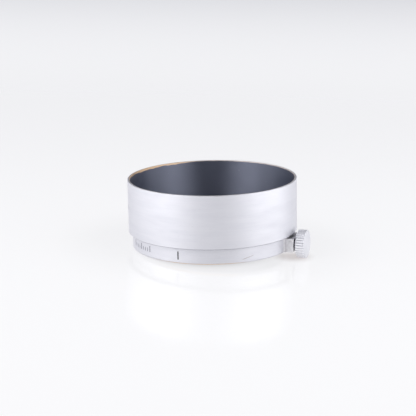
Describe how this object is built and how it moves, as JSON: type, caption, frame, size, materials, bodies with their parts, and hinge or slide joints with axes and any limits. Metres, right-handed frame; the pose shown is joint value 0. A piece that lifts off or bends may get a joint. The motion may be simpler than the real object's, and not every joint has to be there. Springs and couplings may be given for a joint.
{
  "type": "clamp-on lens hood",
  "caption": "Short cylindrical metal lens hood with a stepped clamp collar, an inner leaf spring and a knurled radial thumbscrew that grips a 36 mm lens rim.",
  "frame": {"origin": "on the optical axis, in the rear face of the clamp collar", "axes": "+Z along the optical axis to the front rim, +X along the thumbscrew, away from the axis"},
  "size_m": [0.0454, 0.042, 0.019],
  "materials": {
    "satin_chrome": "satin chrome plate on turned brass",
    "satin_nickel": "duller plate over a filed and brazed block",
    "black_lacquer": "semi-matt black lacquer",
    "spring_steel": "plain steel",
    "brass": "bare turned brass"
  },
  "bodies": {
    "hood": {"hood_barrel": "satin_chrome", "clamp_collar": "satin_chrome", "lens_stop_ring": "black_lacquer", "screw_block": "satin_nickel", "leaf_rivets": "brass"},
    "pad": {"pressure_pad": "brass"},
    "thumbscrew": {"screw_spindle": "spring_steel", "thumb_knob": "satin_chrome"},
    "leaf": {"leaf_spring": "spring_steel"}
  },
  "joints": [
    {"name": "pad_travel", "type": "slide", "parent": "hood", "child": "pad", "axis": [-1, 0, 0], "range_m": [-0.0006, 0.00035]},
    {"name": "thumbscrew_turn", "type": "hinge", "parent": "pad", "child": "thumbscrew", "pos_m": [0.0222, 0, 0.0015], "axis": [-1, 0, 0], "range_deg": [-540.01, 315.01]},
    {"name": "leaf_flex", "type": "hinge", "parent": "hood", "child": "leaf", "pos_m": [0.00329, 0.01866, 0.0015], "axis": [0, 0, -1], "range_deg": [-1.84, 1.08]}
  ],
  "couplings": [
    {"joint": "thumbscrew_turn", "follows": "pad_travel", "rad_per_m": 15708},
    {"joint": "leaf_flex", "follows": "pad_travel", "rad_per_m": 53.585}
  ]
}
